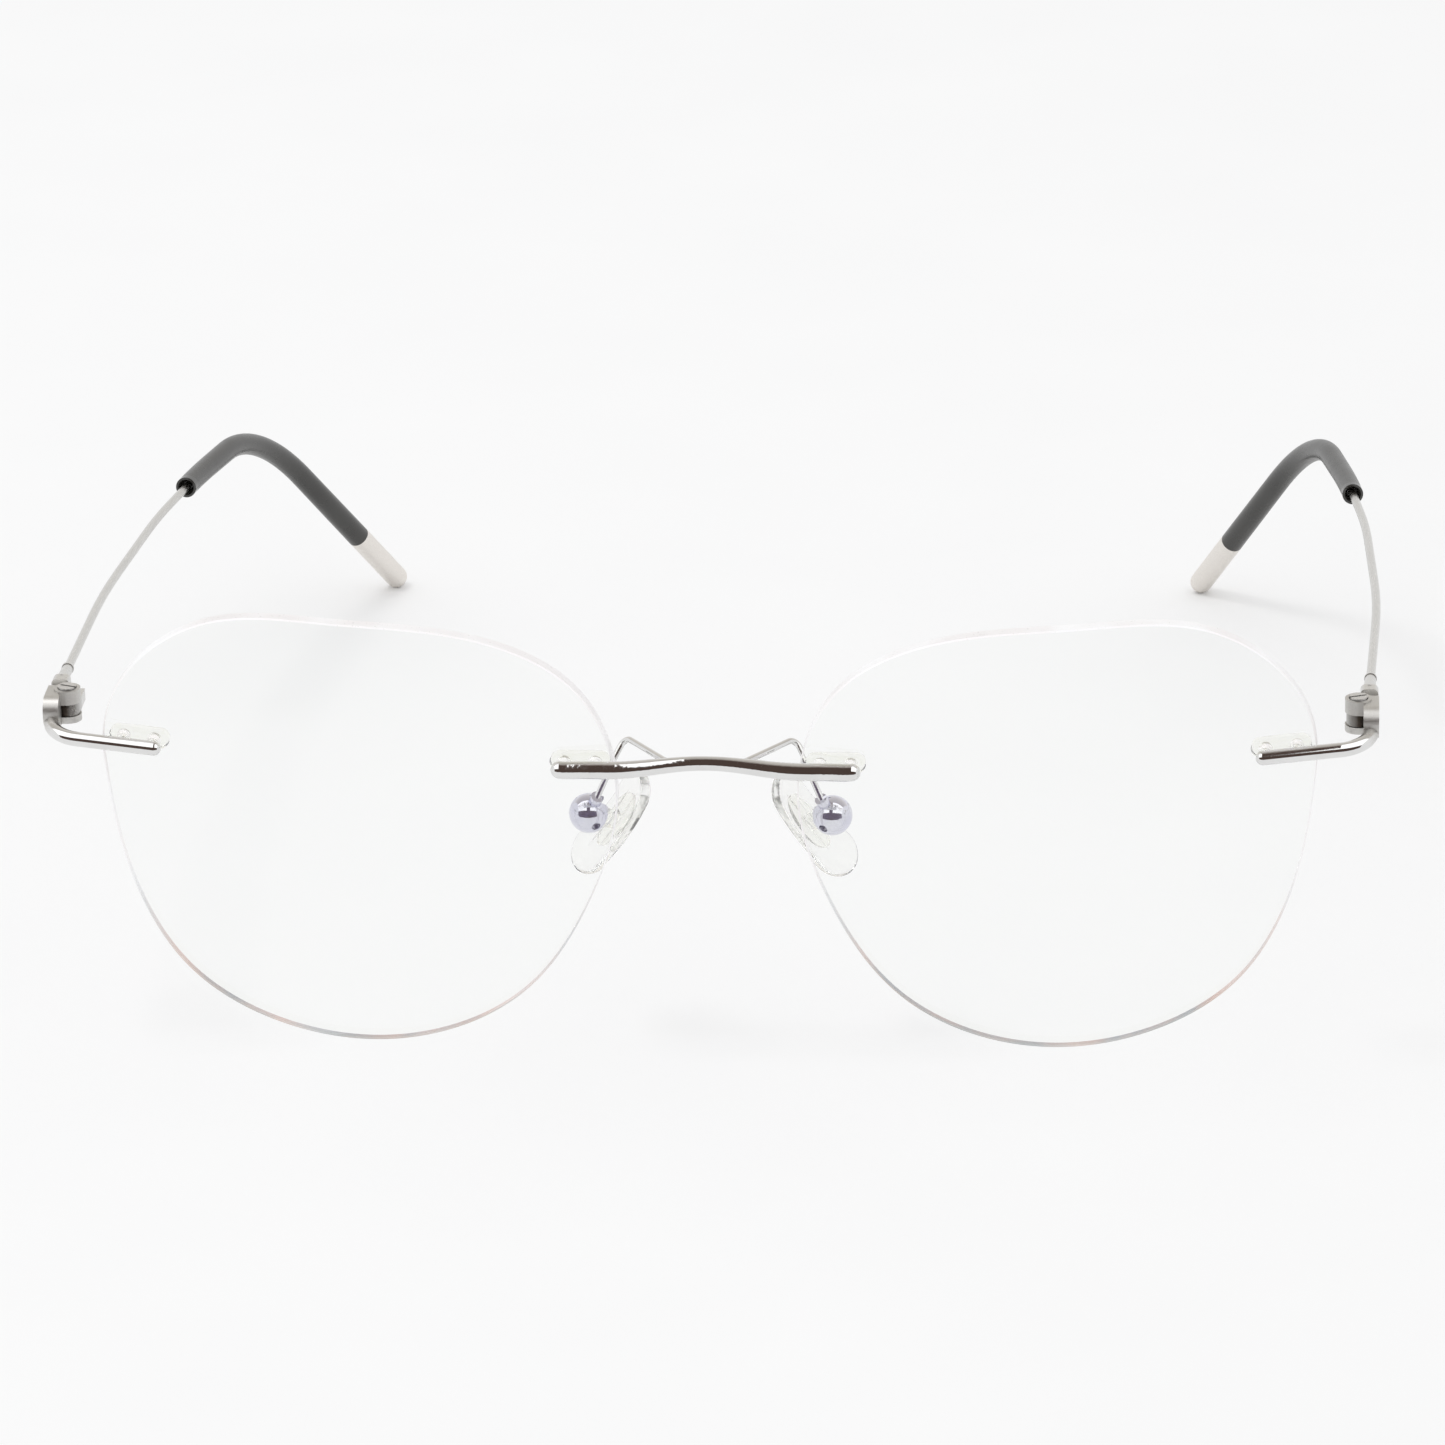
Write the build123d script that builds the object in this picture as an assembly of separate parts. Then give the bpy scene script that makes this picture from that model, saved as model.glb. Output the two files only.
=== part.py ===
"""Rimless three-piece eyeglasses, standing open on a table.

Frame: +X to the wearer's left, +Y back along the temples, +Z up, table at Z = 0.
X = 0 is the middle of the nose. The pieces are drawn with Y = 0 at the front of the
lens edges; build() then moves them so that the origin is the bottom centre of the
whole object. Every paired piece is drawn on the wearer's left (+X) and mirrored.
"""

import os
from math import cos, pi, radians, tan

from build123d import *

# ------------------------------------------------------------------ driving dimensions (mm)
LENS_WIDTH = 52.0            # boxed lens size
LENS_GAP = 18.2              # distance between the two lenses
LENS_THICK = 1.7
LENS_CURVE = 240.0           # radius of the front surface
LENS_EDGE_R = 25.0           # mean distance from the lens centre to its edge
LENS_BEVEL = 0.15

# lens outline, clockwise from the temporal side; x grows towards the temple, z upwards
LENS_OUTLINE = [
    (26.0, 7.0), (22.9, 16.9), (15.5, 21.7), (2.3, 22.0), (-11.9, 20.3),
    (-22.2, 14.6), (-26.0, 4.7), (-22.9, -8.1), (-15.7, -18.4), (-3.0, -23.6),
    (9.2, -21.9), (18.5, -15.7), (23.8, -5.5),
]

POST_PITCH = 3.1             # distance between the two posts of every mounting
POST_R = 0.40                # metal post
PLUG_R = 0.68                # plastic plug around each post
LENS_HOLE_R = 0.70
FIT_GAP = 0.01               # gap in glued and pressed fits
FLANGE_LENGTH = 6.1
FLANGE_HEIGHT = 2.0
FLANGE_THICK = 0.95
FLANGE_Y = 2.0               # front of the plastic flange, just behind the lens
FLANGE_RIM = 0.3             # rounding of its back rim
POST_END = FLANGE_Y + FLANGE_THICK - 0.3
POST_BORE_END = POST_END + 0.05

BAR_END_X = 15.6             # bridge bar, half length
BAR_END_R = 0.90
BAR_MID_R = 0.74
BAR_Y = -1.33
BAR_Z = 30.6
BAR_RISE = 0.85              # the bar arches up by this much over the nose
BAR_ARCH_X = 10.0            # where the arch starts
BRIDGE_POST_X = 12.95        # middle of the two bridge posts
BRIDGE_POST_Z = 30.35

PAD_WIRE_R = 0.33
PAD_WIRE_ROUTE = [(4.05, -0.95, 31.55), (8.6, 5.4, 31.45), (9.95, 4.0, 29.2), (11.45, 2.95, 26.0)]
PAD_WIRE_BENDS = [0.9, 2.6]
PAD_PIVOT = (12.4, 4.2, 23.85)
PAD_FACING = (-0.705, 0.56, -0.44)    # direction in which the pad looks, towards the nose
PAD_UP = (-0.575, -0.09, 0.813)       # along the pad, upwards
PAD_LENGTH = 13.0
PAD_LOW_R = 2.75                     # rounding of the wide lower end
PAD_HIGH_R = 2.4
PAD_THICK = 1.8
PAD_DOME = 22.0                      # radius of the face that meets the nose
PAD_SHIFT = -0.35                    # pad middle, along the pad from the pivot
PAD_BACK = 3.1                       # back of the pad, from the pivot
PAD_ROUND = 0.55                     # rounding of the pad's edges
BOX_R = 2.05
BOX_MOUTH = 1.0                      # open end of the pad box, from the pivot
BOX_FLOOR = -0.95
BOX_SLOT = 1.2
PAD_COLLAR_R = 0.66                  # collar between wire and box
PAD_COLLAR_BACK = 0.25
PAD_COLLAR_REACH = 0.9
PAD_SCREW_R = 0.45
PAD_SCREW_FRONT = 1.62
PAD_SCREW_BACK = -1.78
PAD_SCREW_SLOT = (0.3, 0.16)         # depth and width
TANG_THICK = 1.08
TANG_R = 0.8
CORE_THICK = 0.5
CORE_HALF_WIDTH = 1.4
CORE_HALF_HEIGHT = 3.4
RUN_GAP = 0.06                       # radial clearance of a turning fit

END_BAR_R = 0.75
END_BAR_Y = -1.08
END_BAR_Z = 32.45                    # height of the inner end
END_BAR_X = 55.75                    # centre of the rounded inner end
END_SLOPE = 7.0                      # the end bar climbs outwards, degrees
END_POST_X = 57.5
WALL_IN = 65.7                       # hinge wall, inner and outer face
WALL_OUT = 67.25
WALL_FRONT = 1.2
WALL_BACK = 6.7
WALL_LOW = 33.3
WALL_HIGH = 36.6
WALL_ROUND = 1.5                     # rounding of the wall's outline
CORNER_BEND = 3.0                    # bend from the end bar to the hinge wall
CORNER_TAIL = (3.2, 0.5)             # where the bent bar runs out in the wall: y and rise

HINGE_X = 65.2
HINGE_Y = 4.5
EAR_R = 1.35
EAR_TOP = 36.75
GAP_TOP = 35.3                       # slot between the two ears
GAP_LOW = 34.0
HINGE_SCREW_R = 0.55
HEAD_R = 0.92
HEAD_HIGH = 36.95
HEAD_LOW = 36.45
HEAD_ROOM = 0.06
HEAD_SLOT = (2.4, 0.28, 0.44)
HEAD_SLOT_TURN = 20.0
TONGUE_R = 1.2
TONGUE_PLAY = 0.04
KNUCKLE_ROOM = 0.12                  # pocket in the hinge wall around the tongue
STOP_GAP = 0.06                      # between the hinge wall and the temple's stop face
STOP_LOW_THICK = 1.2                 # stop block, lower and upper part
STOP_HIGH_THICK = 1.4
STOP_ROUND = 0.55                    # rounding of the upper part's outline
STOP_SIDE = 0.05                     # its outer face sits this far inside the wall's

TEMPLE_ROUTE = [
    (66.3, 8.0, 36.1), (67.3, 40.4, 32.9), (66.2, 71.1, 29.9),
    (64.3, 88.5, 28.4), (60.75, 109.7, 26.55), (47.5, 127.6, 1.3),
]
TEMPLE_BENDS = [260.0, 150.0, 150.0, 24.0]
TEMPLE_WIRE_R = 0.45
COLLAR_START = 1.0                   # along the temple from its first point
COLLAR_LENGTH = 3.6
COLLAR_R = 0.68
COLLAR_END_R = 0.54
RING_LENGTH = 0.45
RING_R = 0.63
SLEEVE_START = 0.72                  # part of the run where the sleeve opens
SLEEVE_R = 1.15
SLEEVE_END_R = 1.3
MOUTH_RIM = 0.25                     # width of the rim around the dished mouth
MOUTH_DEPTH = 1.0
CAP_LENGTH = 9.2                     # straight part of the end cap
CAP_R = 1.3
CORE_WIRE_IN_CAP = 4.0
CAP_BORE = 4.1

LENS_X = LENS_GAP / 2 + LENS_WIDTH / 2
LENS_Z = 23.75               # height of the lens centre
MIDDLE_Y = (BAR_Y - BAR_END_R + TEMPLE_ROUTE[-1][1] + CAP_R) / 2


# ------------------------------------------------------------------ helpers
def mirrored(shape):
    return mirror(shape, about=Plane.YZ)


def rod(start, end, radius):
    """Straight round rod between two points."""
    a, b = Vector(*start), Vector(*end)
    run = b - a
    return extrude(Plane(origin=a, z_dir=run) * Circle(radius), amount=run.length)


def cone(start, end, radius_start, radius_end):
    a, b = Vector(*start), Vector(*end)
    run = b - a
    near = Plane(origin=a, z_dir=run) * Circle(radius_start)
    far = Plane(origin=b, z_dir=run) * Circle(radius_end)
    return loft([near, far])


def dome(centre, direction, radius):
    """Half ball that rounds off the end of a rod."""
    return Plane(origin=centre, z_dir=direction) * Sphere(radius, arc_size1=0, align=None)


def block(x, y, z):
    """Box between two limits on each axis."""
    size = [high - low for low, high in (x, y, z)]
    middle = [(high + low) / 2 for low, high in (x, y, z)]
    return Pos(*middle) * Box(*size)


def wire_along(points, bends, radius):
    """Round wire along straight runs joined by tangent arcs."""
    path = FilletPolyline(*points, radius=bends)
    section = Plane(origin=path @ 0, z_dir=path % 0) * Circle(radius)
    return sweep(section, path=path)


def sphere_face_y(x, z):
    """Front of a lens at a distance from its centre, measured from the lens edge plane."""
    return (x * x + z * z - LENS_EDGE_R ** 2) / (2 * LENS_CURVE)


def end_bar_z(x):
    return END_BAR_Z + (x - END_BAR_X) * tan(radians(END_SLOPE))


def post_places(middle_x, middle_z, slope):
    """The two posts of a mounting, as x and z."""
    step = POST_PITCH / 2
    rise = step * tan(radians(slope))
    return [(middle_x - step, middle_z - rise), (middle_x + step, middle_z + rise)]


BRIDGE_POSTS = post_places(BRIDGE_POST_X, BRIDGE_POST_Z, 0)
END_POSTS = post_places(END_POST_X, end_bar_z(END_POST_X), END_SLOPE)


# ------------------------------------------------------------------ lenses
def lens():
    outline = Spline(*LENS_OUTLINE, periodic=True)
    prism = extrude(Plane.XZ * make_face(outline), amount=8, both=True)
    middle_y = LENS_CURVE - LENS_EDGE_R ** 2 / (2 * LENS_CURVE)
    front = Pos(0, middle_y, 0) * Sphere(LENS_CURVE)
    back = Pos(0, middle_y, 0) * Sphere(LENS_CURVE - LENS_THICK)
    body = (prism & front) - back
    body = chamfer(body.edges(), LENS_BEVEL)
    body = Pos(LENS_X, 0, -body.bounding_box().min.Z) * body
    for x, z in BRIDGE_POSTS + END_POSTS:
        body -= rod((x, -5, z), (x, 5, z), LENS_HOLE_R)
    return body


def mounting_pins(posts, bar_y):
    """Two short metal posts behind a bar, through the lens."""
    return [rod((x, bar_y, z), (x, POST_END, z), POST_R) for x, z in posts]


def mounting_sleeve(posts, slope):
    """Clear twin plug: a flat flange behind the lens and a plug through each lens hole."""
    x = (posts[0][0] + posts[1][0]) / 2
    z = (posts[0][1] + posts[1][1]) / 2
    seat = Plane(origin=(x, FLANGE_Y, z), x_dir=(1, 0, tan(radians(slope))), z_dir=(0, 1, 0))
    body = extrude(seat * SlotOverall(FLANGE_LENGTH, FLANGE_HEIGHT), amount=FLANGE_THICK)
    rim = body.faces().sort_by(Axis.Y)[-1].edges()
    body = fillet(rim, FLANGE_RIM)
    for px, pz in posts:
        front = sphere_face_y(px - LENS_X, pz - LENS_Z)
        body += rod((px, front, pz), (px, FLANGE_Y + 0.1, pz), PLUG_R)
    for px, pz in posts:
        body -= rod((px, -3, pz), (px, POST_BORE_END, pz), POST_R + FIT_GAP)
    return body


# ------------------------------------------------------------------ bridge and nose pads
def bar_centre_z(x):
    reach = min(abs(x) / BAR_ARCH_X, 1.0)
    return BAR_Z + BAR_RISE * (0.5 + 0.5 * cos(pi * reach))


def bar_radius(x):
    reach = min(abs(x) / BAR_ARCH_X, 1.0)
    return BAR_END_R + (BAR_MID_R - BAR_END_R) * (0.5 + 0.5 * cos(pi * reach))


def bridge_bar():
    end = BAR_END_X - BAR_END_R
    steps = 14
    sections = []
    for i in range(steps + 1):
        x = -end + 2 * end * i / steps
        sections.append(Plane(origin=(x, BAR_Y, bar_centre_z(x)), z_dir=(1, 0, 0)) * Circle(bar_radius(x)))
    body = loft(sections)
    for side in (-1, 1):
        body += dome((side * end, BAR_Y, BAR_Z), (side, 0, 0), BAR_END_R)
    for x, z in BRIDGE_POSTS:
        body -= rod((x, BAR_Y, z), (x, 1, z), POST_R + FIT_GAP)
        body -= rod((-x, BAR_Y, z), (-x, 1, z), POST_R + FIT_GAP)
    return body


def pad_frame():
    """Local frame of a nose pad: x along the screw, y up the pad, z towards the nose."""
    facing = Vector(*PAD_FACING).normalized()
    up = Vector(*PAD_UP)
    up = (up - facing * up.dot(facing)).normalized()
    return Plane(origin=PAD_PIVOT, x_dir=up.cross(facing), z_dir=facing)


def pad_arm():
    arm = wire_along(PAD_WIRE_ROUTE, PAD_WIRE_BENDS, PAD_WIRE_R)
    return arm - bridge_bar() - pad_box()


def pad_collar():
    tip = Vector(*PAD_WIRE_ROUTE[-1])
    inward = (Vector(*PAD_PIVOT) - tip).normalized()
    return rod(tip - inward * PAD_COLLAR_BACK, tip + inward * PAD_COLLAR_REACH, PAD_COLLAR_R)


def pad_box():
    """Domed clevis that holds the tang of the nose pad."""
    seat = pad_frame()
    wide = 4 * BOX_R
    cup = Sphere(BOX_R) & Pos(0, 0, BOX_MOUTH - wide / 2) * Box(wide, wide, wide)
    slot = Pos(0, 0, BOX_FLOOR + BOX_R) * Box(BOX_SLOT, wide, 2 * BOX_R)
    screw_hole = Rot(0, 90, 0) * Cylinder(PAD_SCREW_R + FIT_GAP, wide)
    return seat * cup + pad_collar() - seat * slot - seat * screw_hole


def pad_screw():
    """Slotted pin across the pad box, sunk a little at the front."""
    middle = (PAD_SCREW_FRONT + PAD_SCREW_BACK) / 2
    length = PAD_SCREW_FRONT - PAD_SCREW_BACK
    shank = Pos(middle, 0, 0) * Rot(0, 90, 0) * Cylinder(PAD_SCREW_R, length)
    depth, width = PAD_SCREW_SLOT
    slot = Pos(PAD_SCREW_FRONT, 0, 0) * Box(depth, width, 3 * PAD_SCREW_R)
    return pad_frame() * (shank - slot)


def pad_outline():
    half = PAD_LENGTH / 2
    low = Pos(0, PAD_SHIFT - half + PAD_LOW_R) * Circle(PAD_LOW_R)
    high = Pos(0, PAD_SHIFT + half - PAD_HIGH_R) * Circle(PAD_HIGH_R)
    return make_hull((low + high).edges())


def pad_core():
    """Stiff insert of a nose pad: a tang on the pivot and a plate inside the soft pad."""
    pad_middle = PAD_BACK + PAD_THICK / 2
    tang = Rot(0, 90, 0) * Cylinder(TANG_R, TANG_THICK)
    tang += Pos(0, 0, pad_middle / 2) * Box(TANG_THICK, 2 * TANG_R, pad_middle)
    plate = Plane.XY.offset(pad_middle - CORE_THICK / 2) * Ellipse(CORE_HALF_WIDTH, CORE_HALF_HEIGHT)
    tang += extrude(plate, amount=CORE_THICK)
    return tang - Rot(0, 90, 0) * Cylinder(PAD_SCREW_R + RUN_GAP, 2 * TANG_THICK)


def nose_pad():
    """Soft teardrop pad, slightly domed towards the nose."""
    front = PAD_BACK + PAD_THICK
    prism = extrude(Plane.XY.offset(-3) * pad_outline(), amount=8)
    centre = Pos(0, PAD_SHIFT, front - PAD_DOME)
    body = (prism & centre * Sphere(PAD_DOME)) - centre * Sphere(PAD_DOME - PAD_THICK)
    body = fillet(body.edges(), PAD_ROUND)
    return body - pad_core()


# ------------------------------------------------------------------ end pieces and hinges
def endpiece():
    """Bar on the lens front that turns back into the hinge wall with its two ears."""
    corner_x = (WALL_IN + WALL_OUT) / 2
    corner_z = end_bar_z(corner_x)
    route = [
        (END_BAR_X, END_BAR_Y, END_BAR_Z),
        (corner_x, END_BAR_Y, corner_z),
        (corner_x, CORNER_TAIL[0], corner_z + CORNER_TAIL[1]),
    ]
    body = wire_along(route, [CORNER_BEND], END_BAR_R)
    inwards = Vector(*route[0]) - Vector(*route[1])
    body += dome(route[0], inwards, END_BAR_R)
    wall_middle = Plane(
        origin=(WALL_IN, (WALL_FRONT + WALL_BACK) / 2, (WALL_LOW + WALL_HIGH) / 2),
        x_dir=(0, 1, 0), z_dir=(1, 0, 0),
    )
    wall = wall_middle * RectangleRounded(WALL_BACK - WALL_FRONT, WALL_HIGH - WALL_LOW, WALL_ROUND)
    body += extrude(wall, amount=WALL_OUT - WALL_IN)
    under = (WALL_LOW - 2 * END_BAR_R, WALL_LOW)
    body -= block((WALL_IN - 1, WALL_OUT + 1), (WALL_FRONT + 1.6, WALL_BACK + 1), under)
    ear = Pos(HINGE_X, HINGE_Y) * Circle(EAR_R)
    ear_root = WALL_IN + 0.2
    ear += Pos((HINGE_X + ear_root) / 2, HINGE_Y) * Rectangle(ear_root - HINGE_X, 2 * EAR_R)
    body += extrude(Plane.XY.offset(GAP_TOP) * ear, amount=EAR_TOP - GAP_TOP)
    body += extrude(Plane.XY.offset(WALL_LOW) * ear, amount=GAP_LOW - WALL_LOW)
    hinge = (HINGE_X, HINGE_Y)
    body -= rod((*hinge, GAP_LOW), (*hinge, GAP_TOP), TONGUE_R + KNUCKLE_ROOM)
    body -= rod((*hinge, WALL_LOW - 1), (*hinge, HEAD_HIGH), HINGE_SCREW_R + FIT_GAP)
    body -= rod((*hinge, HEAD_LOW), (*hinge, HEAD_HIGH), HEAD_R + HEAD_ROOM)
    for x, z in END_POSTS:
        body -= rod((x, END_BAR_Y, z), (x, 1, z), POST_R + FIT_GAP)
    return body


def hinge_screw():
    """Slotted screw down through both ears, standing just proud of the upper one."""
    hinge = (HINGE_X, HINGE_Y)
    body = rod((*hinge, WALL_LOW - 0.1), (*hinge, HEAD_HIGH), HINGE_SCREW_R)
    body += rod((*hinge, HEAD_LOW + FIT_GAP), (*hinge, HEAD_HIGH), HEAD_R)
    return body - Pos(*hinge, HEAD_HIGH) * Rot(0, 0, HEAD_SLOT_TURN) * Box(*HEAD_SLOT)


def temple_run():
    """Direction of the first stretch of the temple."""
    return (Vector(*TEMPLE_ROUTE[1]) - Vector(*TEMPLE_ROUTE[0])).normalized()


def temple_hinge():
    """Hinge tongue, its stop block and the tapered collar that takes the temple wire."""
    low = GAP_LOW + TONGUE_PLAY
    high = GAP_TOP - TONGUE_PLAY
    stop = WALL_BACK + STOP_GAP
    tongue = Pos(HINGE_X, HINGE_Y) * Circle(TONGUE_R)
    neck_in = HINGE_X - TONGUE_R
    neck_out = WALL_IN - KNUCKLE_ROOM
    outer = WALL_OUT - STOP_SIDE
    body = extrude(Plane.XY.offset(low) * tongue, amount=high - low)
    body += block((neck_in, neck_out), (HINGE_Y, stop + STOP_LOW_THICK), (low, high))
    body += block((neck_in, outer), (stop, stop + STOP_LOW_THICK), (low, high))
    stop_in = HINGE_X + 0.2
    middle = ((stop_in + outer) / 2, stop, (low + EAR_TOP) / 2)
    plate = RectangleRounded(outer - stop_in, EAR_TOP - low, STOP_ROUND)
    body += extrude(Plane(origin=middle, x_dir=(1, 0, 0), z_dir=(0, 1, 0)) * plate, amount=STOP_HIGH_THICK)
    start = Vector(*TEMPLE_ROUTE[0])
    run = temple_run()
    collar_in = start - run * 0.2
    collar_out = start + run * (COLLAR_START + COLLAR_LENGTH)
    body += cone(collar_in, collar_out, COLLAR_R, COLLAR_END_R)
    body += rod(collar_out - run * RING_LENGTH, collar_out, RING_R)
    body -= rod((HINGE_X, HINGE_Y, WALL_LOW), (HINGE_X, HINGE_Y, EAR_TOP), HINGE_SCREW_R + RUN_GAP)
    return body - rod(start + run * COLLAR_START, collar_out + run, TEMPLE_WIRE_R + FIT_GAP)


# ------------------------------------------------------------------ temples
def tip_direction():
    return (Vector(*TEMPLE_ROUTE[-1]) - Vector(*TEMPLE_ROUTE[-2])).normalized()


def temple_wire():
    start = Vector(*TEMPLE_ROUTE[0]) + temple_run() * (COLLAR_START + 0.05)
    end = Vector(*TEMPLE_ROUTE[-1]) - tip_direction() * (CAP_LENGTH - CORE_WIRE_IN_CAP)
    return wire_along([start, *TEMPLE_ROUTE[1:-1], end], TEMPLE_BENDS, TEMPLE_WIRE_R)


def sleeve_route():
    before, after = Vector(*TEMPLE_ROUTE[2]), Vector(*TEMPLE_ROUTE[3])
    opening = before + (after - before) * SLEEVE_START
    end = Vector(*TEMPLE_ROUTE[-1]) - tip_direction() * CAP_LENGTH
    return [opening, *TEMPLE_ROUTE[3:-1], end]


def tip_sleeve():
    """Matt black sleeve that grows slightly towards its end, with a dished mouth."""
    route = sleeve_route()
    path = FilletPolyline(*route, radius=TEMPLE_BENDS[2:])
    near = Plane(origin=path @ 0, z_dir=path % 0) * Circle(SLEEVE_R)
    far = Plane(origin=path @ 1, z_dir=path % 1) * Circle(SLEEVE_END_R)
    body = sweep(sections=[near, far], path=path, multisection=True)
    run = path % 0
    mouth = path @ 0
    body -= cone(mouth, mouth + run * MOUTH_DEPTH, SLEEVE_R - MOUTH_RIM, TEMPLE_WIRE_R + 0.05)
    bore = wire_along(route, TEMPLE_BENDS[2:], TEMPLE_WIRE_R + FIT_GAP)
    return body - bore


def tip_cap():
    """Round-ended metal cap on the end of the temple."""
    end = Vector(*TEMPLE_ROUTE[-1])
    run = tip_direction()
    start = end - run * CAP_LENGTH
    body = rod(start, end, CAP_R) + dome(end, run, CAP_R)
    return body - rod(start - run, start + run * CAP_BORE, TEMPLE_WIRE_R + FIT_GAP)


# ------------------------------------------------------------------ all pieces
def build():
    """Every piece by its node name, moved so that the origin is the bottom centre."""
    seat = pad_frame()
    nodes = {"bridge_bar": bridge_bar()}
    paired = {
        "lens": lens(),
        "bridge_sleeve": mounting_sleeve(BRIDGE_POSTS, 0),
        "pad_arm": pad_arm(),
        "pad_box": pad_box(),
        "pad_screw": pad_screw(),
        "pad_core": seat * pad_core(),
        "nose_pad": seat * nose_pad(),
        "endpiece": endpiece(),
        "endpiece_sleeve": mounting_sleeve(END_POSTS, END_SLOPE),
        "hinge_screw": hinge_screw(),
        "temple_hinge": temple_hinge(),
        "temple_wire": temple_wire(),
        "tip_sleeve": tip_sleeve(),
        "tip_cap": tip_cap(),
        "bridge_pins": Compound(mounting_pins(BRIDGE_POSTS, BAR_Y)),
        "endpiece_pins": Compound(mounting_pins(END_POSTS, END_BAR_Y)),
    }
    for name, shape in paired.items():
        nodes[name + "_left"] = shape
        nodes[name + "_right"] = mirrored(shape)
    return {name: Pos(0, -MIDDLE_Y, 0) * shape for name, shape in nodes.items()}


os.makedirs("parts", exist_ok=True)
for name, shape in build().items():
    export_step(shape, f"parts/{name}.step")
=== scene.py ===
"""Looks of the rimless eyeglasses: materials, soft parts, studio and camera."""

from math import asin, cos, pi, radians, sin, sqrt

import bmesh
import bpy
from mathutils import Matrix, Vector


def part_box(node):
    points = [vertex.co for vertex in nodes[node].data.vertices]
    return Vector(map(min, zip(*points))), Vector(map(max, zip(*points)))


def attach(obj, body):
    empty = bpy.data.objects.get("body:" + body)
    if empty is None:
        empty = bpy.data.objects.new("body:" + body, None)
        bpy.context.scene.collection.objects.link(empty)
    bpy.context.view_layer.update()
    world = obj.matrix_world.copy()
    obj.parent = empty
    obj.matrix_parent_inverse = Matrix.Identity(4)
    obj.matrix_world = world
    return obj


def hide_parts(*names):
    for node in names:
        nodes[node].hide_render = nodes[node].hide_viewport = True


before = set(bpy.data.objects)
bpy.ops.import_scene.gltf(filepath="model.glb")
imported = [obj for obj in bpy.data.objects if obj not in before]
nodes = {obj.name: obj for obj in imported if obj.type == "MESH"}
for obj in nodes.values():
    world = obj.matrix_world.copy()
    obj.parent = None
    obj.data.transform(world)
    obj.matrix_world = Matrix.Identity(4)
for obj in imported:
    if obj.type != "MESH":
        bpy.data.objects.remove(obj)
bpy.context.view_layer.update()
MM = 0.001


# ------------------------------------------------------------------ node helpers
class Shader:
    """Small helper around one material's node tree."""

    def __init__(self, name):
        self.material = bpy.data.materials.new(name)
        self.material.use_nodes = True
        self.tree = self.material.node_tree
        self.tree.nodes.clear()
        self.out = self.tree.nodes.new("ShaderNodeOutputMaterial")
        self.main = self.tree.nodes.new("ShaderNodeBsdfPrincipled")
        self.link(self.main.outputs[0], self.out.inputs["Surface"])
        self.coords = self.tree.nodes.new("ShaderNodeTexCoord").outputs["Object"]

    def link(self, start, end):
        self.tree.links.new(start, end)

    def put(self, **values):
        """Fixed values on the shader's own sockets."""
        for key, value in values.items():
            self.main.inputs[key.replace("_", " ")].default_value = value

    def stretched(self, scale):
        """The place on the object, scaled differently along each axis."""
        mapping = self.tree.nodes.new("ShaderNodeMapping")
        mapping.inputs["Scale"].default_value = scale
        self.link(self.coords, mapping.inputs["Vector"])
        return mapping.outputs["Vector"]

    def noise(self, scale, detail=3.0, rough=0.5, vector=None):
        node = self.tree.nodes.new("ShaderNodeTexNoise")
        node.inputs["Scale"].default_value = scale
        node.inputs["Detail"].default_value = detail
        node.inputs["Roughness"].default_value = rough
        self.link(vector or self.coords, node.inputs["Vector"])
        return node.outputs["Fac"]

    def ramp(self, value, low, high, start=0.3, end=0.7):
        """From low to high while value goes from start to end, and level beyond."""
        node = self.tree.nodes.new("ShaderNodeMapRange")
        node.inputs["From Min"].default_value = start
        node.inputs["From Max"].default_value = end
        node.inputs["To Min"].default_value = low
        node.inputs["To Max"].default_value = high
        self.link(value, node.inputs["Value"])
        return node.outputs["Result"]

    def colours(self, value, stops):
        node = self.tree.nodes.new("ShaderNodeValToRGB")
        line = node.color_ramp
        while len(line.elements) < len(stops):
            line.elements.new(0.5)
        for element, (place, colour) in zip(line.elements, stops):
            element.position = place
            element.color = (*colour, 1)
        self.link(value, node.inputs["Fac"])
        return node.outputs["Color"]

    def mix(self, factor, a, b):
        """From one number to another; each is fixed or a node's."""
        node = self.tree.nodes.new("ShaderNodeMix")
        node.data_type = "FLOAT"
        self.link(factor, node.inputs[0])
        for value, socket in ((a, node.inputs[2]), (b, node.inputs[3])):
            if isinstance(value, (int, float)):
                socket.default_value = value
            else:
                self.link(value, socket)
        return node.outputs[0]

    def blend(self, factor, colour, other):
        """From one colour to another; each is a fixed colour or a node's."""
        node = self.tree.nodes.new("ShaderNodeMix")
        node.data_type = "RGBA"
        self.link(factor, node.inputs[0])
        for value, socket in ((colour, node.inputs[6]), (other, node.inputs[7])):
            if isinstance(value, tuple):
                socket.default_value = (*value, 1)
            else:
                self.link(value, socket)
        return node.outputs[2]

    def maths(self, kind, a, b=None):
        node = self.tree.nodes.new("ShaderNodeMath")
        node.operation = kind
        for value, socket in ((a, node.inputs[0]), (b, node.inputs[1])):
            if value is None:
                continue
            if isinstance(value, (int, float)):
                socket.default_value = value
            else:
                self.link(value, socket)
        return node.outputs[0]

    def bump(self, height, strength, distance):
        node = self.tree.nodes.new("ShaderNodeBump")
        node.inputs["Strength"].default_value = strength
        node.inputs["Distance"].default_value = distance
        self.link(height, node.inputs["Height"])
        self.link(node.outputs["Normal"], self.main.inputs["Normal"])

    def part(self, axis, vector=None):
        """One component of a vector, by default of the place on the object."""
        split = self.tree.nodes.new("ShaderNodeSeparateXYZ")
        self.link(vector or self.coords, split.inputs[0])
        return split.outputs[axis]

    def use(self, socket, value):
        """A node's output on one of the shader's own sockets."""
        self.link(value, self.main.inputs[socket])


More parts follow.
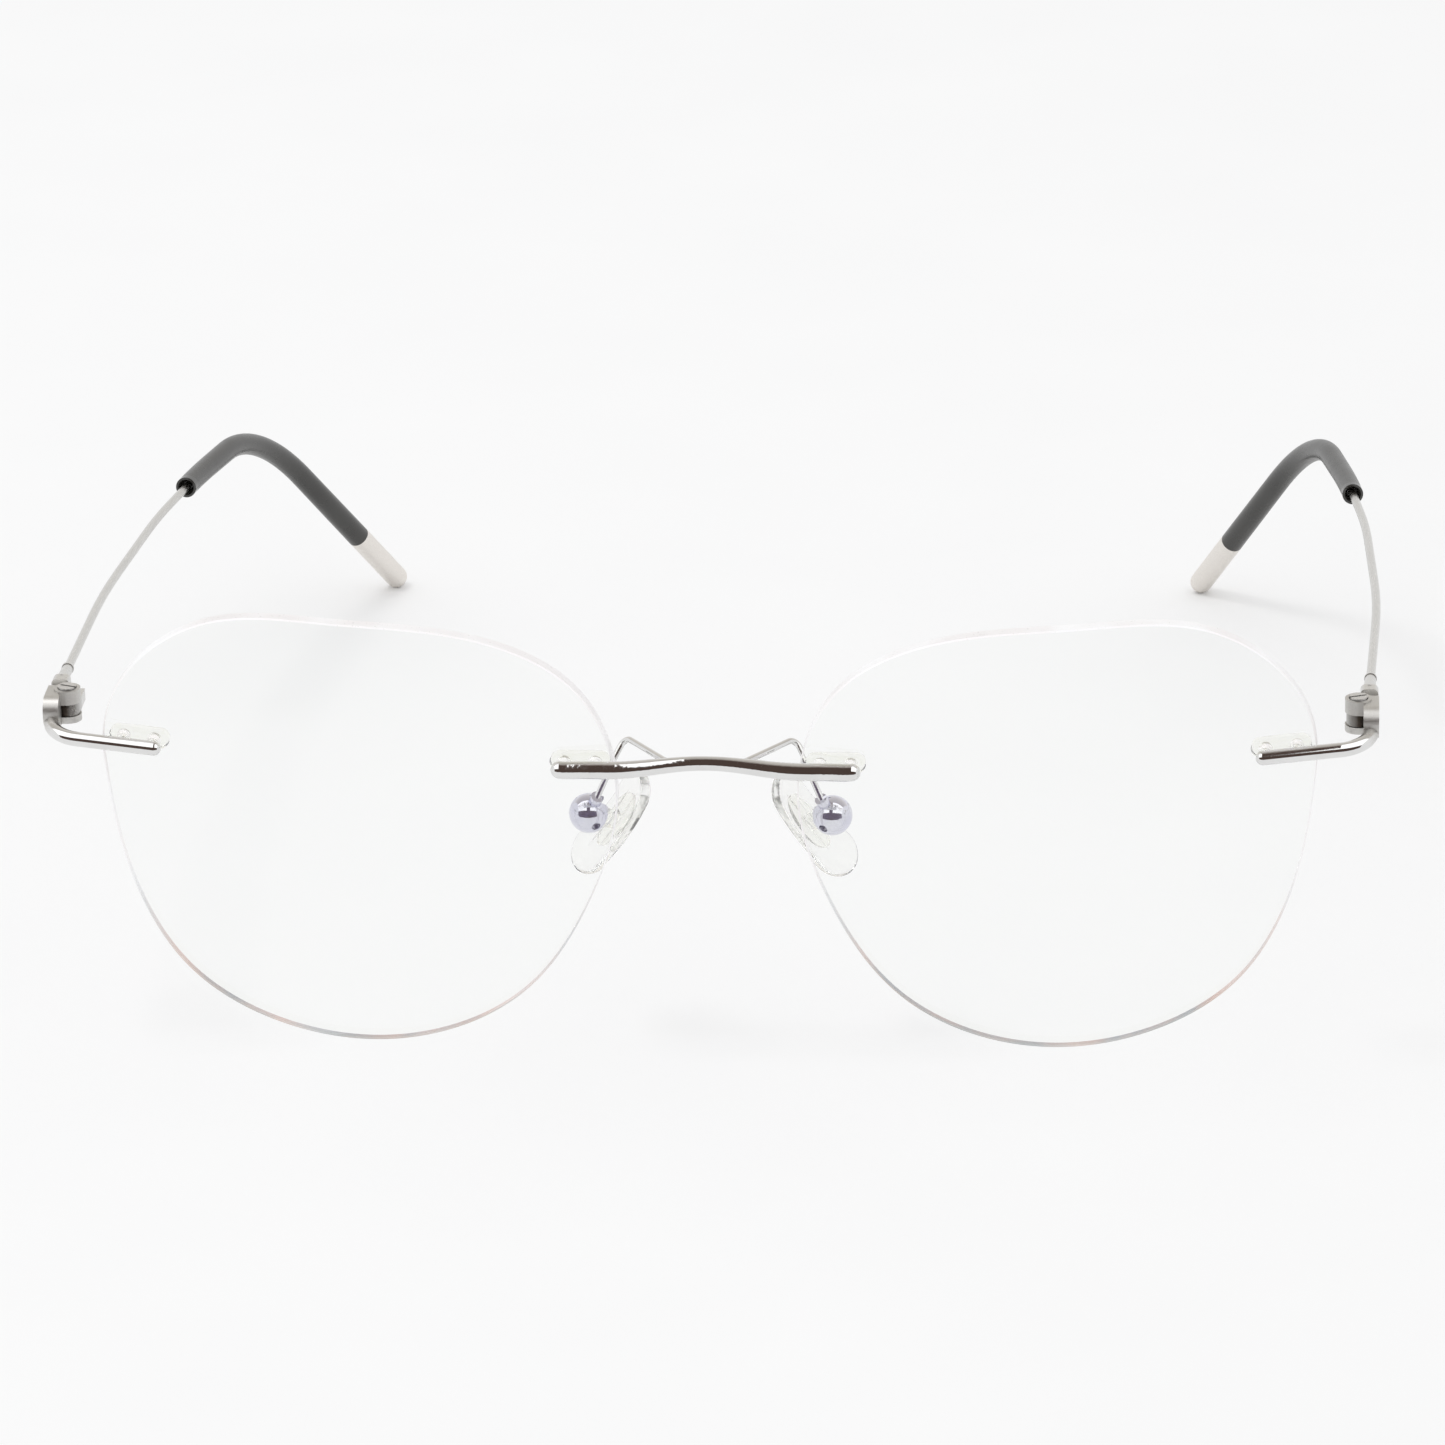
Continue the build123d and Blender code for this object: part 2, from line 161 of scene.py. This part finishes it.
def bright_plating(name, light, dark, rough=(0.035, 0.085)):
    """Polished plating with faint haze and hairline wear."""
    s = Shader(name)
    haze = s.noise(420, 4, 0.6)
    hair = s.noise(1, 5, 0.7, s.stretched((260, 5200, 5200)))
    s.use("Base Color", s.colours(haze, [(0.3, dark), (0.7, light)]))
    s.use("Roughness", s.ramp(haze, *rough))
    s.bump(hair, 0.012, 0.00002)
    s.put(Metallic=1.0)
    return s.material


WALL_STARTS = (-0.0640, -0.0625)     # Y where the bar's polish turns into the hinge wall's satin
KNUCKLE_FRONT = (-0.0580, -0.0574)   # Y where the painted shade of the knuckle ends
KNUCKLE_SIDE = (0.0640, 0.0652)      # distance from the middle over which that painted shade deepens
LENS_FACES = (0.75, 0.9)             # how squarely a face looks forward: ground edge, polished face
LENS_LOW = (0.006, 0.020)            # Z between which painted shade makes the ground edge greyer towards the bottom


def end_plating():
    """Plating of the end pieces: polished along the bar, satin and greyer on the hinge wall."""
    s = Shader("end_plating")
    haze = s.noise(420, 4, 0.6)
    brushed = s.noise(1, 5, 0.7, s.stretched((6000, 500, 6000)))
    wall = s.ramp(s.part("Y"), 0.0, 1.0, *WALL_STARTS)
    bar = s.colours(haze, [(0.3, (0.72, 0.715, 0.71)), (0.7, (0.77, 0.77, 0.765))])
    satin = s.colours(brushed, [(0.3, (0.53, 0.52, 0.50)), (0.7, (0.63, 0.62, 0.60))])
    s.use("Base Color", s.blend(wall, bar, satin))
    s.use("Roughness", s.mix(wall, s.ramp(haze, 0.035, 0.085), s.ramp(brushed, 0.36, 0.48)))
    s.bump(brushed, 0.05, 0.00002)
    s.put(Metallic=1.0)
    return s.material


def hinge_plating():
    """Plating of the temple hinge, with painted shade where the knuckle runs between the ears."""
    s = Shader("hinge_plating")
    haze = s.noise(700, 4, 0.6)
    front = s.ramp(s.part("Y"), 1.0, 0.0, *KNUCKLE_FRONT)
    outer = s.ramp(s.maths("ABSOLUTE", s.part("X")), 0.35, 1.0, *KNUCKLE_SIDE)
    plain = s.colours(haze, [(0.3, (0.60, 0.595, 0.58)), (0.7, (0.70, 0.695, 0.68))])
    # painted shade: near-black colour where the knuckle sits in the shadowed slot between the ears
    painted_shade = s.colours(haze, [(0.3, (0.040, 0.031, 0.025)), (0.7, (0.090, 0.075, 0.063))])
    s.use("Base Color", s.blend(s.maths("MULTIPLY", front, outer), plain, painted_shade))
    s.use("Roughness", s.ramp(haze, 0.24, 0.36))
    s.put(Metallic=1.0)
    return s.material


def drawn_wire():
    """Drawn temple wire: fine streaks along the wire, slightly warm."""
    s = Shader("drawn_wire")
    streaks = s.noise(1, 4, 0.6, s.stretched((7000, 90, 7000)))
    s.use("Base Color", s.colours(streaks, [(0.3, (0.52, 0.51, 0.485)), (0.7, (0.66, 0.65, 0.63))]))
    s.use("Roughness", s.ramp(streaks, 0.16, 0.30))
    s.bump(streaks, 0.08, 0.00002)
    s.put(Metallic=1.0)
    return s.material


def turned_steel():
    """Small turned screws and posts."""
    s = Shader("turned_steel")
    grain = s.noise(5200, 3, 0.6)
    s.use("Base Color", s.colours(grain, [(0.3, (0.50, 0.50, 0.50)), (0.7, (0.72, 0.71, 0.70))]))
    s.use("Roughness", s.ramp(grain, 0.14, 0.28))
    s.bump(grain, 0.12, 0.00002)
    s.put(Metallic=1.0)
    return s.material


def satin_cap():
    """Warm brushed metal of the end caps."""
    s = Shader("satin_cap")
    brushed = s.noise(1, 5, 0.7, s.stretched((9000, 700, 9000)))
    s.use("Base Color", s.colours(brushed, [(0.3, (0.74, 0.705, 0.665)), (0.7, (0.86, 0.83, 0.79))]))
    s.use("Roughness", s.ramp(brushed, 0.30, 0.44))
    s.bump(brushed, 0.16, 0.00002)
    s.put(Metallic=1.0)
    return s.material


def black_sleeve(node):
    """Matt black sleeve, glossy around its mouth."""
    s = Shader("black_sleeve_" + node.split("_")[-1])
    low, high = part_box(node)
    grain = s.noise(9000, 3, 0.6)
    worn = s.noise(260, 3, 0.55)
    near_mouth = s.ramp(s.part("Y"), 1.0, 0.0, low.y + 0.9 * MM, low.y + 1.3 * MM)
    matt = s.ramp(worn, 0.24, 0.32)
    s.use("Roughness", s.mix(near_mouth, matt, 0.12))
    s.use("Base Color", s.colours(worn, [(0.3, (0.020, 0.019, 0.017)), (0.7, (0.029, 0.028, 0.025))]))
    s.bump(grain, 0.18, 0.00003)
    s.put(Specular_IOR_Level=0.7)
    return s.material


def lens_glass():
    """Clear coated lens with a finely ground edge, which has painted shade towards the bottom."""
    s = Shader("lens_clear")
    normal = s.tree.nodes.new("ShaderNodeTexCoord").outputs["Normal"]
    edge = s.ramp(s.maths("ABSOLUTE", s.part("Y", normal)), 1.0, 0.0, *LENS_FACES)
    ground = s.noise(3800, 3, 0.6)
    drift = s.noise(150, 2, 0.5)
    patchy = s.noise(45, 2, 0.5)
    s.use("Roughness", s.mix(edge, 0.0, s.ramp(ground, 0.26, 0.42)))
    s.use("Transmission Weight", s.mix(edge, 1.0, s.ramp(drift, 0.05, 0.20)))
    # painted shade: the ground edge turns grey towards the bottom, where it faces the floor, in random
    # patches
    low = s.ramp(s.part("Z"), 1.0, 0.0, *LENS_LOW)
    low_edge_shade = s.maths("MULTIPLY", low, s.ramp(patchy, 0.55, 1.0, 0.4, 0.55))
    pale = s.colours(drift, [(0.35, (0.97, 0.97, 0.965)), (0.62, (0.98, 0.955, 0.94))])
    shaded_grey = s.colours(drift, [(0.35, (0.42, 0.44, 0.43)), (0.62, (0.62, 0.46, 0.38))])
    s.use("Base Color", s.blend(edge, (0.985, 0.99, 0.985), s.blend(low_edge_shade, pale, shaded_grey)))
    s.put(IOR=1.5, Specular_IOR_Level=0.45)
    s.put(Specular_Tint=(0.62, 0.58, 1.0, 1.0))
    return s.material


def clear_plastic():
    """Moulded clear plastic, very slightly yellow."""
    s = Shader("clear_plastic")
    flow = s.noise(900, 3, 0.5)
    s.use("Base Color", s.colours(flow, [(0.3, (0.97, 0.97, 0.93)), (0.7, (0.99, 0.99, 0.97))]))
    s.use("Roughness", s.ramp(flow, 0.05, 0.16))
    s.bump(flow, 0.15, 0.00005)
    s.put(Transmission_Weight=0.94, IOR=1.24)
    return s.material


def silicone():
    """Clear soft silicone with a fine matt skin."""
    s = Shader("silicone_clear")
    skin = s.noise(2600, 4, 0.6)
    s.use("Base Color", s.colours(skin, [(0.3, (0.955, 0.955, 0.945)), (0.7, (0.985, 0.985, 0.975))]))
    s.use("Roughness", s.ramp(skin, 0.05, 0.11))
    s.bump(skin, 0.03, 0.00004)
    s.put(Transmission_Weight=0.95, IOR=1.25)
    return s.material


def give(material, *names):
    """Give the material to each node, or to its left and right ones."""
    for name in names:
        for node in (name, name + "_left", name + "_right"):
            if node in nodes:
                slots = nodes[node].data.materials
                slots.clear()
                slots.append(material)


chrome = bright_plating("bright_plating", (0.77, 0.77, 0.765), (0.72, 0.715, 0.71))
violet = bright_plating("pad_box_plating", (0.73, 0.73, 0.78), (0.62, 0.62, 0.72), (0.05, 0.11))
give(chrome, "bridge_bar", "pad_arm")
give(end_plating(), "endpiece")
give(violet, "pad_box")
give(hinge_plating(), "temple_hinge")
give(drawn_wire(), "temple_wire")
give(turned_steel(), "hinge_screw", "pad_screw", "bridge_pins", "endpiece_pins")
give(satin_cap(), "tip_cap")
give(lens_glass(), "lens")
give(clear_plastic(), "bridge_sleeve", "endpiece_sleeve", "pad_core")
for side in ("left", "right"):
    give(black_sleeve("tip_sleeve_" + side), "tip_sleeve_" + side)


# ------------------------------------------------------------------ nose pads
PAD_PIVOT = (12.4, -59.135, 23.85)   # millimetres, on the left side
PAD_FACING = (-0.705, 0.56, -0.44)
PAD_UP = (-0.575, -0.09, 0.813)
PAD_LOW = (-4.1, 2.75)               # middle and radius of the wide end, along the pad
PAD_HIGH = (3.75, 2.4)               # the same of the narrow end
PAD_SHIFT = -0.35                    # where along the pad its bend is centred
PAD_MIDDLE = 4.0                     # middle of the thickness, from the pivot
PAD_BEND = 21.1                      # radius that the pad is bent to
PAD_HALF = 0.9                       # half the thickness
PAD_RIM = 0.85                       # how far in the rounded rim reaches
PAD_CROWN = 0.22                     # share of the thickness lost from the middle to the rim
ARC_STEPS, RUN_STEPS = 56, 16        # steps round each end and along each flank


def pad_outline():
    """Points round the pad: outward direction, and middle and radius of the arc it belongs to."""
    lean = asin((PAD_LOW[1] - PAD_HIGH[1]) / (PAD_HIGH[0] - PAD_LOW[0]))
    ring = []
    for start, sweep, here, there, way in (
        (lean, radians(180) - 2 * lean, PAD_HIGH, PAD_LOW, -1),
        (radians(180) - lean, radians(180) + 2 * lean, PAD_LOW, PAD_HIGH, 1),
    ):
        for i in range(ARC_STEPS + 1):
            angle = start + sweep * i / ARC_STEPS
            ring.append((cos(angle), sin(angle), *here))
        for i in range(1, RUN_STEPS):
            t = i / RUN_STEPS
            middle, radius = (a + (b - a) * t for a, b in zip(here, there))
            ring.append((way * cos(lean), sin(lean), middle, radius))
    return ring


def pad_profile():
    """Rings from the middle of the face, over the rim, to the middle of the back."""
    front = [("face", 0.06 + 0.188 * i, 1) for i in range(5)]
    front += [("rim", 81 - 9 * i, 1) for i in range(10)]
    back = [(kind, value, -1) for kind, value, way in front[-2::-1]]
    return front + back


def pad_mesh(side):
    """Crowned soft pad with a rounded rim, bent round the nose."""
    flip = 1 if side == "left" else -1
    facing = Vector(PAD_FACING).normalized()
    up = Vector(PAD_UP)
    up = (up - facing * up.dot(facing)).normalized()
    across = up.cross(facing)
    bm = bmesh.new()
    rings = []
    for kind, value, way in pad_profile():
        ring = []
        for nx, ny, middle, radius in pad_outline():
            if kind == "rim":
                reach = radius - PAD_RIM * (1 - cos(radians(value)))
                lift = PAD_HALF * (1 - PAD_CROWN) * sin(radians(value))
            else:
                reach = (radius - PAD_RIM) * value
                lift = PAD_HALF * (1 - PAD_CROWN * value * value)
            u, v = nx * reach, middle + ny * reach
            off = u * u + (v - PAD_SHIFT) ** 2
            w = PAD_MIDDLE - PAD_BEND + sqrt(PAD_BEND ** 2 - off) + way * lift
            point = Vector(PAD_PIVOT) + across * u + up * v + facing * w
            ring.append(bm.verts.new((flip * point.x * MM, point.y * MM, point.z * MM)))
        rings.append(ring)
    count = len(rings[0])
    for a, b in zip(rings, rings[1:]):
        for i in range(count):
            j = (i + 1) % count
            bm.faces.new((a[i], a[j], b[j], b[i]))
    bm.faces.new(rings[0])
    bm.faces.new(rings[-1])
    bmesh.ops.recalc_face_normals(bm, faces=bm.faces)
    for face in bm.faces:
        face.smooth = True
    mesh = bpy.data.meshes.new("soft_pad_" + side)
    bm.to_mesh(mesh)
    bm.free()
    return mesh


soft = silicone()
for side in ("left", "right"):
    pad = bpy.data.objects.new("soft_pad_" + side, pad_mesh(side))
    bpy.context.scene.collection.objects.link(pad)
    pad.data.materials.append(soft)
    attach(pad, "pad_" + side)
    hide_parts("nose_pad_" + side)
    pad.visible_shadow = False
    pad.visible_diffuse = False

for name in ("lens", "bridge_sleeve", "endpiece_sleeve", "pad_core"):
    for side in ("left", "right"):
        clear_piece = nodes[name + "_" + side]
        clear_piece.visible_shadow = False
        clear_piece.visible_diffuse = False


# ------------------------------------------------------------------ studio
FLOOR = -0.02 * MM
FLOOR_HALF = 6
DAYLIGHT = 0.96
REACH = 0.3                          # distance of the cards
CARD_STEPS = 12
WIDE = 0.40                          # half the width of the widest cards
GAP = (-0.047, 0.031)                # between the two softboxes
BOX_LOW, BOX_HIGH = 33, 88           # lower and upper edge of the softboxes, degrees up from the front
BEHIND = 155                         # where the room's glow ends, behind the object
ROOM = [
    (0.389, (0.086, 0.060, 0.051)), (0.456, (0.366, 0.324, 0.297)), (0.533, (0.60, 0.57, 0.53)),
    (0.617, (0.63, 0.60, 0.56)), (0.722, (0.77, 0.736, 0.687)), (0.839, (0.896, 0.868, 0.823)),
]


def staged(name, points, faces, material):
    """A piece of the studio, which isn't part of the object."""
    mesh = bpy.data.meshes.new(name)
    mesh.from_pydata(points, [], faces)
    piece = bpy.data.objects.new(name, mesh)
    bpy.context.scene.collection.objects.link(piece)
    mesh.materials.append(material)
    return piece


def floor_paper():
    """Matt white paper, very slightly mottled."""
    s = Shader("floor_paper")
    mottle = s.noise(30, 3, 0.5)
    s.use("Base Color", s.colours(mottle, [(0.3, (0.895, 0.895, 0.897)), (0.7, (0.905, 0.905, 0.906))]))
    s.put(Roughness=0.9, Specular_IOR_Level=0.0)
    return s.material


def glow(name, colour, strength):
    """An even light."""
    material = bpy.data.materials.new(name)
    material.use_nodes = True
    tree = material.node_tree
    tree.nodes.clear()
    out = tree.nodes.new("ShaderNodeOutputMaterial")
    light = tree.nodes.new("ShaderNodeEmission")
    light.inputs["Color"].default_value = (*colour, 1)
    light.inputs["Strength"].default_value = strength
    tree.links.new(light.outputs[0], out.inputs["Surface"])
    return material


corners = [(x * FLOOR_HALF, y * FLOOR_HALF, FLOOR) for x, y in ((-1, -1), (1, -1), (1, 1), (-1, 1))]
staged("floor", corners, [(0, 1, 2, 3)], floor_paper())

world = bpy.data.worlds.new("studio")
bpy.context.scene.world = world
world.use_nodes = True
world.node_tree.nodes["Background"].inputs["Color"].default_value = (1.0, 1.0, 1.0, 1)
world.node_tree.nodes["Background"].inputs["Strength"].default_value = DAYLIGHT


def card(name, x_low, x_high, low, high, material):
    """Curved card over the object from the front to the back, seen only in reflections."""
    points = []
    for i in range(CARD_STEPS + 1):
        angle = radians(low + (high - low) * i / CARD_STEPS)
        y, z = -REACH * cos(angle), REACH * sin(angle)
        points += [(x_low, y, z), (x_high, y, z)]
    faces = [(2 * i, 2 * i + 1, 2 * i + 3, 2 * i + 2) for i in range(CARD_STEPS)]
    piece = staged(name, points, faces, material)
    piece.visible_camera = False
    piece.visible_diffuse = False
    piece.visible_shadow = False


def room():
    """Glow of the room over the object: dark and warm in front, pale overhead and behind."""
    s = Shader("room_glow")
    s.tree.nodes.remove(s.main)
    angle = s.maths("ARCTAN2", s.part("Z"), s.maths("MULTIPLY", s.part("Y"), -1.0))
    height = s.maths("DIVIDE", angle, pi)
    light = s.tree.nodes.new("ShaderNodeEmission")
    s.link(s.colours(height, ROOM), light.inputs["Color"])
    s.link(light.outputs[0], s.out.inputs["Surface"])
    return s.material


shade = room()
card("room_front", -WIDE, WIDE, 0, BOX_LOW, shade)
card("room_gap", *GAP, BOX_LOW, BOX_HIGH, shade)
card("room_above", -WIDE, WIDE, BOX_HIGH, BEHIND, shade)
white = glow("softbox", (1.0, 1.0, 1.0), 1.5)
card("softbox_left", -WIDE, GAP[0], BOX_LOW, BOX_HIGH, white)
card("softbox_right", GAP[1], WIDE, BOX_LOW, BOX_HIGH, white)


def area(name, place, aim, size, power):
    """A rectangular lamp, aimed at a point."""
    data = bpy.data.lights.new(name, "AREA")
    data.shape = "RECTANGLE"
    data.size, data.size_y = size
    data.energy = power
    lamp = bpy.data.objects.new(name, data)
    lamp.location = place
    lamp.rotation_euler = (Vector(aim) - Vector(place)).to_track_quat("-Z", "Y").to_euler()
    bpy.context.scene.collection.objects.link(lamp)


area("key", (-0.43, -0.14, 1.12), (0, 0, 0), (0.3, 0.3), 1.6)

# ------------------------------------------------------------------ camera
IMAGE = 1445                         # width of the view, in the same unit as its focal length
FOCAL = 7449.9
SENSOR = 36
BOUNCES = 40                         # enough for light to leave the clear pieces
camera = bpy.data.cameras.new("camera")
camera.sensor_width = SENSOR
camera.lens = SENSOR * FOCAL / IMAGE
camera.clip_start = 0.01
camera.clip_end = 50
view = bpy.data.objects.new("camera", camera)
right = Vector((0.99682, 0.07642, -0.02245))
up = Vector((-0.00822, 0.37911, 0.92532))
back = Vector((0.07914, -0.92220, 0.37853))
turn = Matrix((right, up, back)).transposed()
view.matrix_world = Matrix.Translation((0.060806, -0.751254, 0.317715)) @ turn.to_4x4()
bpy.context.scene.collection.objects.link(view)
bpy.context.scene.camera = view
bpy.context.scene.view_settings.view_transform = "Standard"
bpy.context.scene.cycles.max_bounces = BOUNCES
bpy.context.scene.cycles.transmission_bounces = BOUNCES
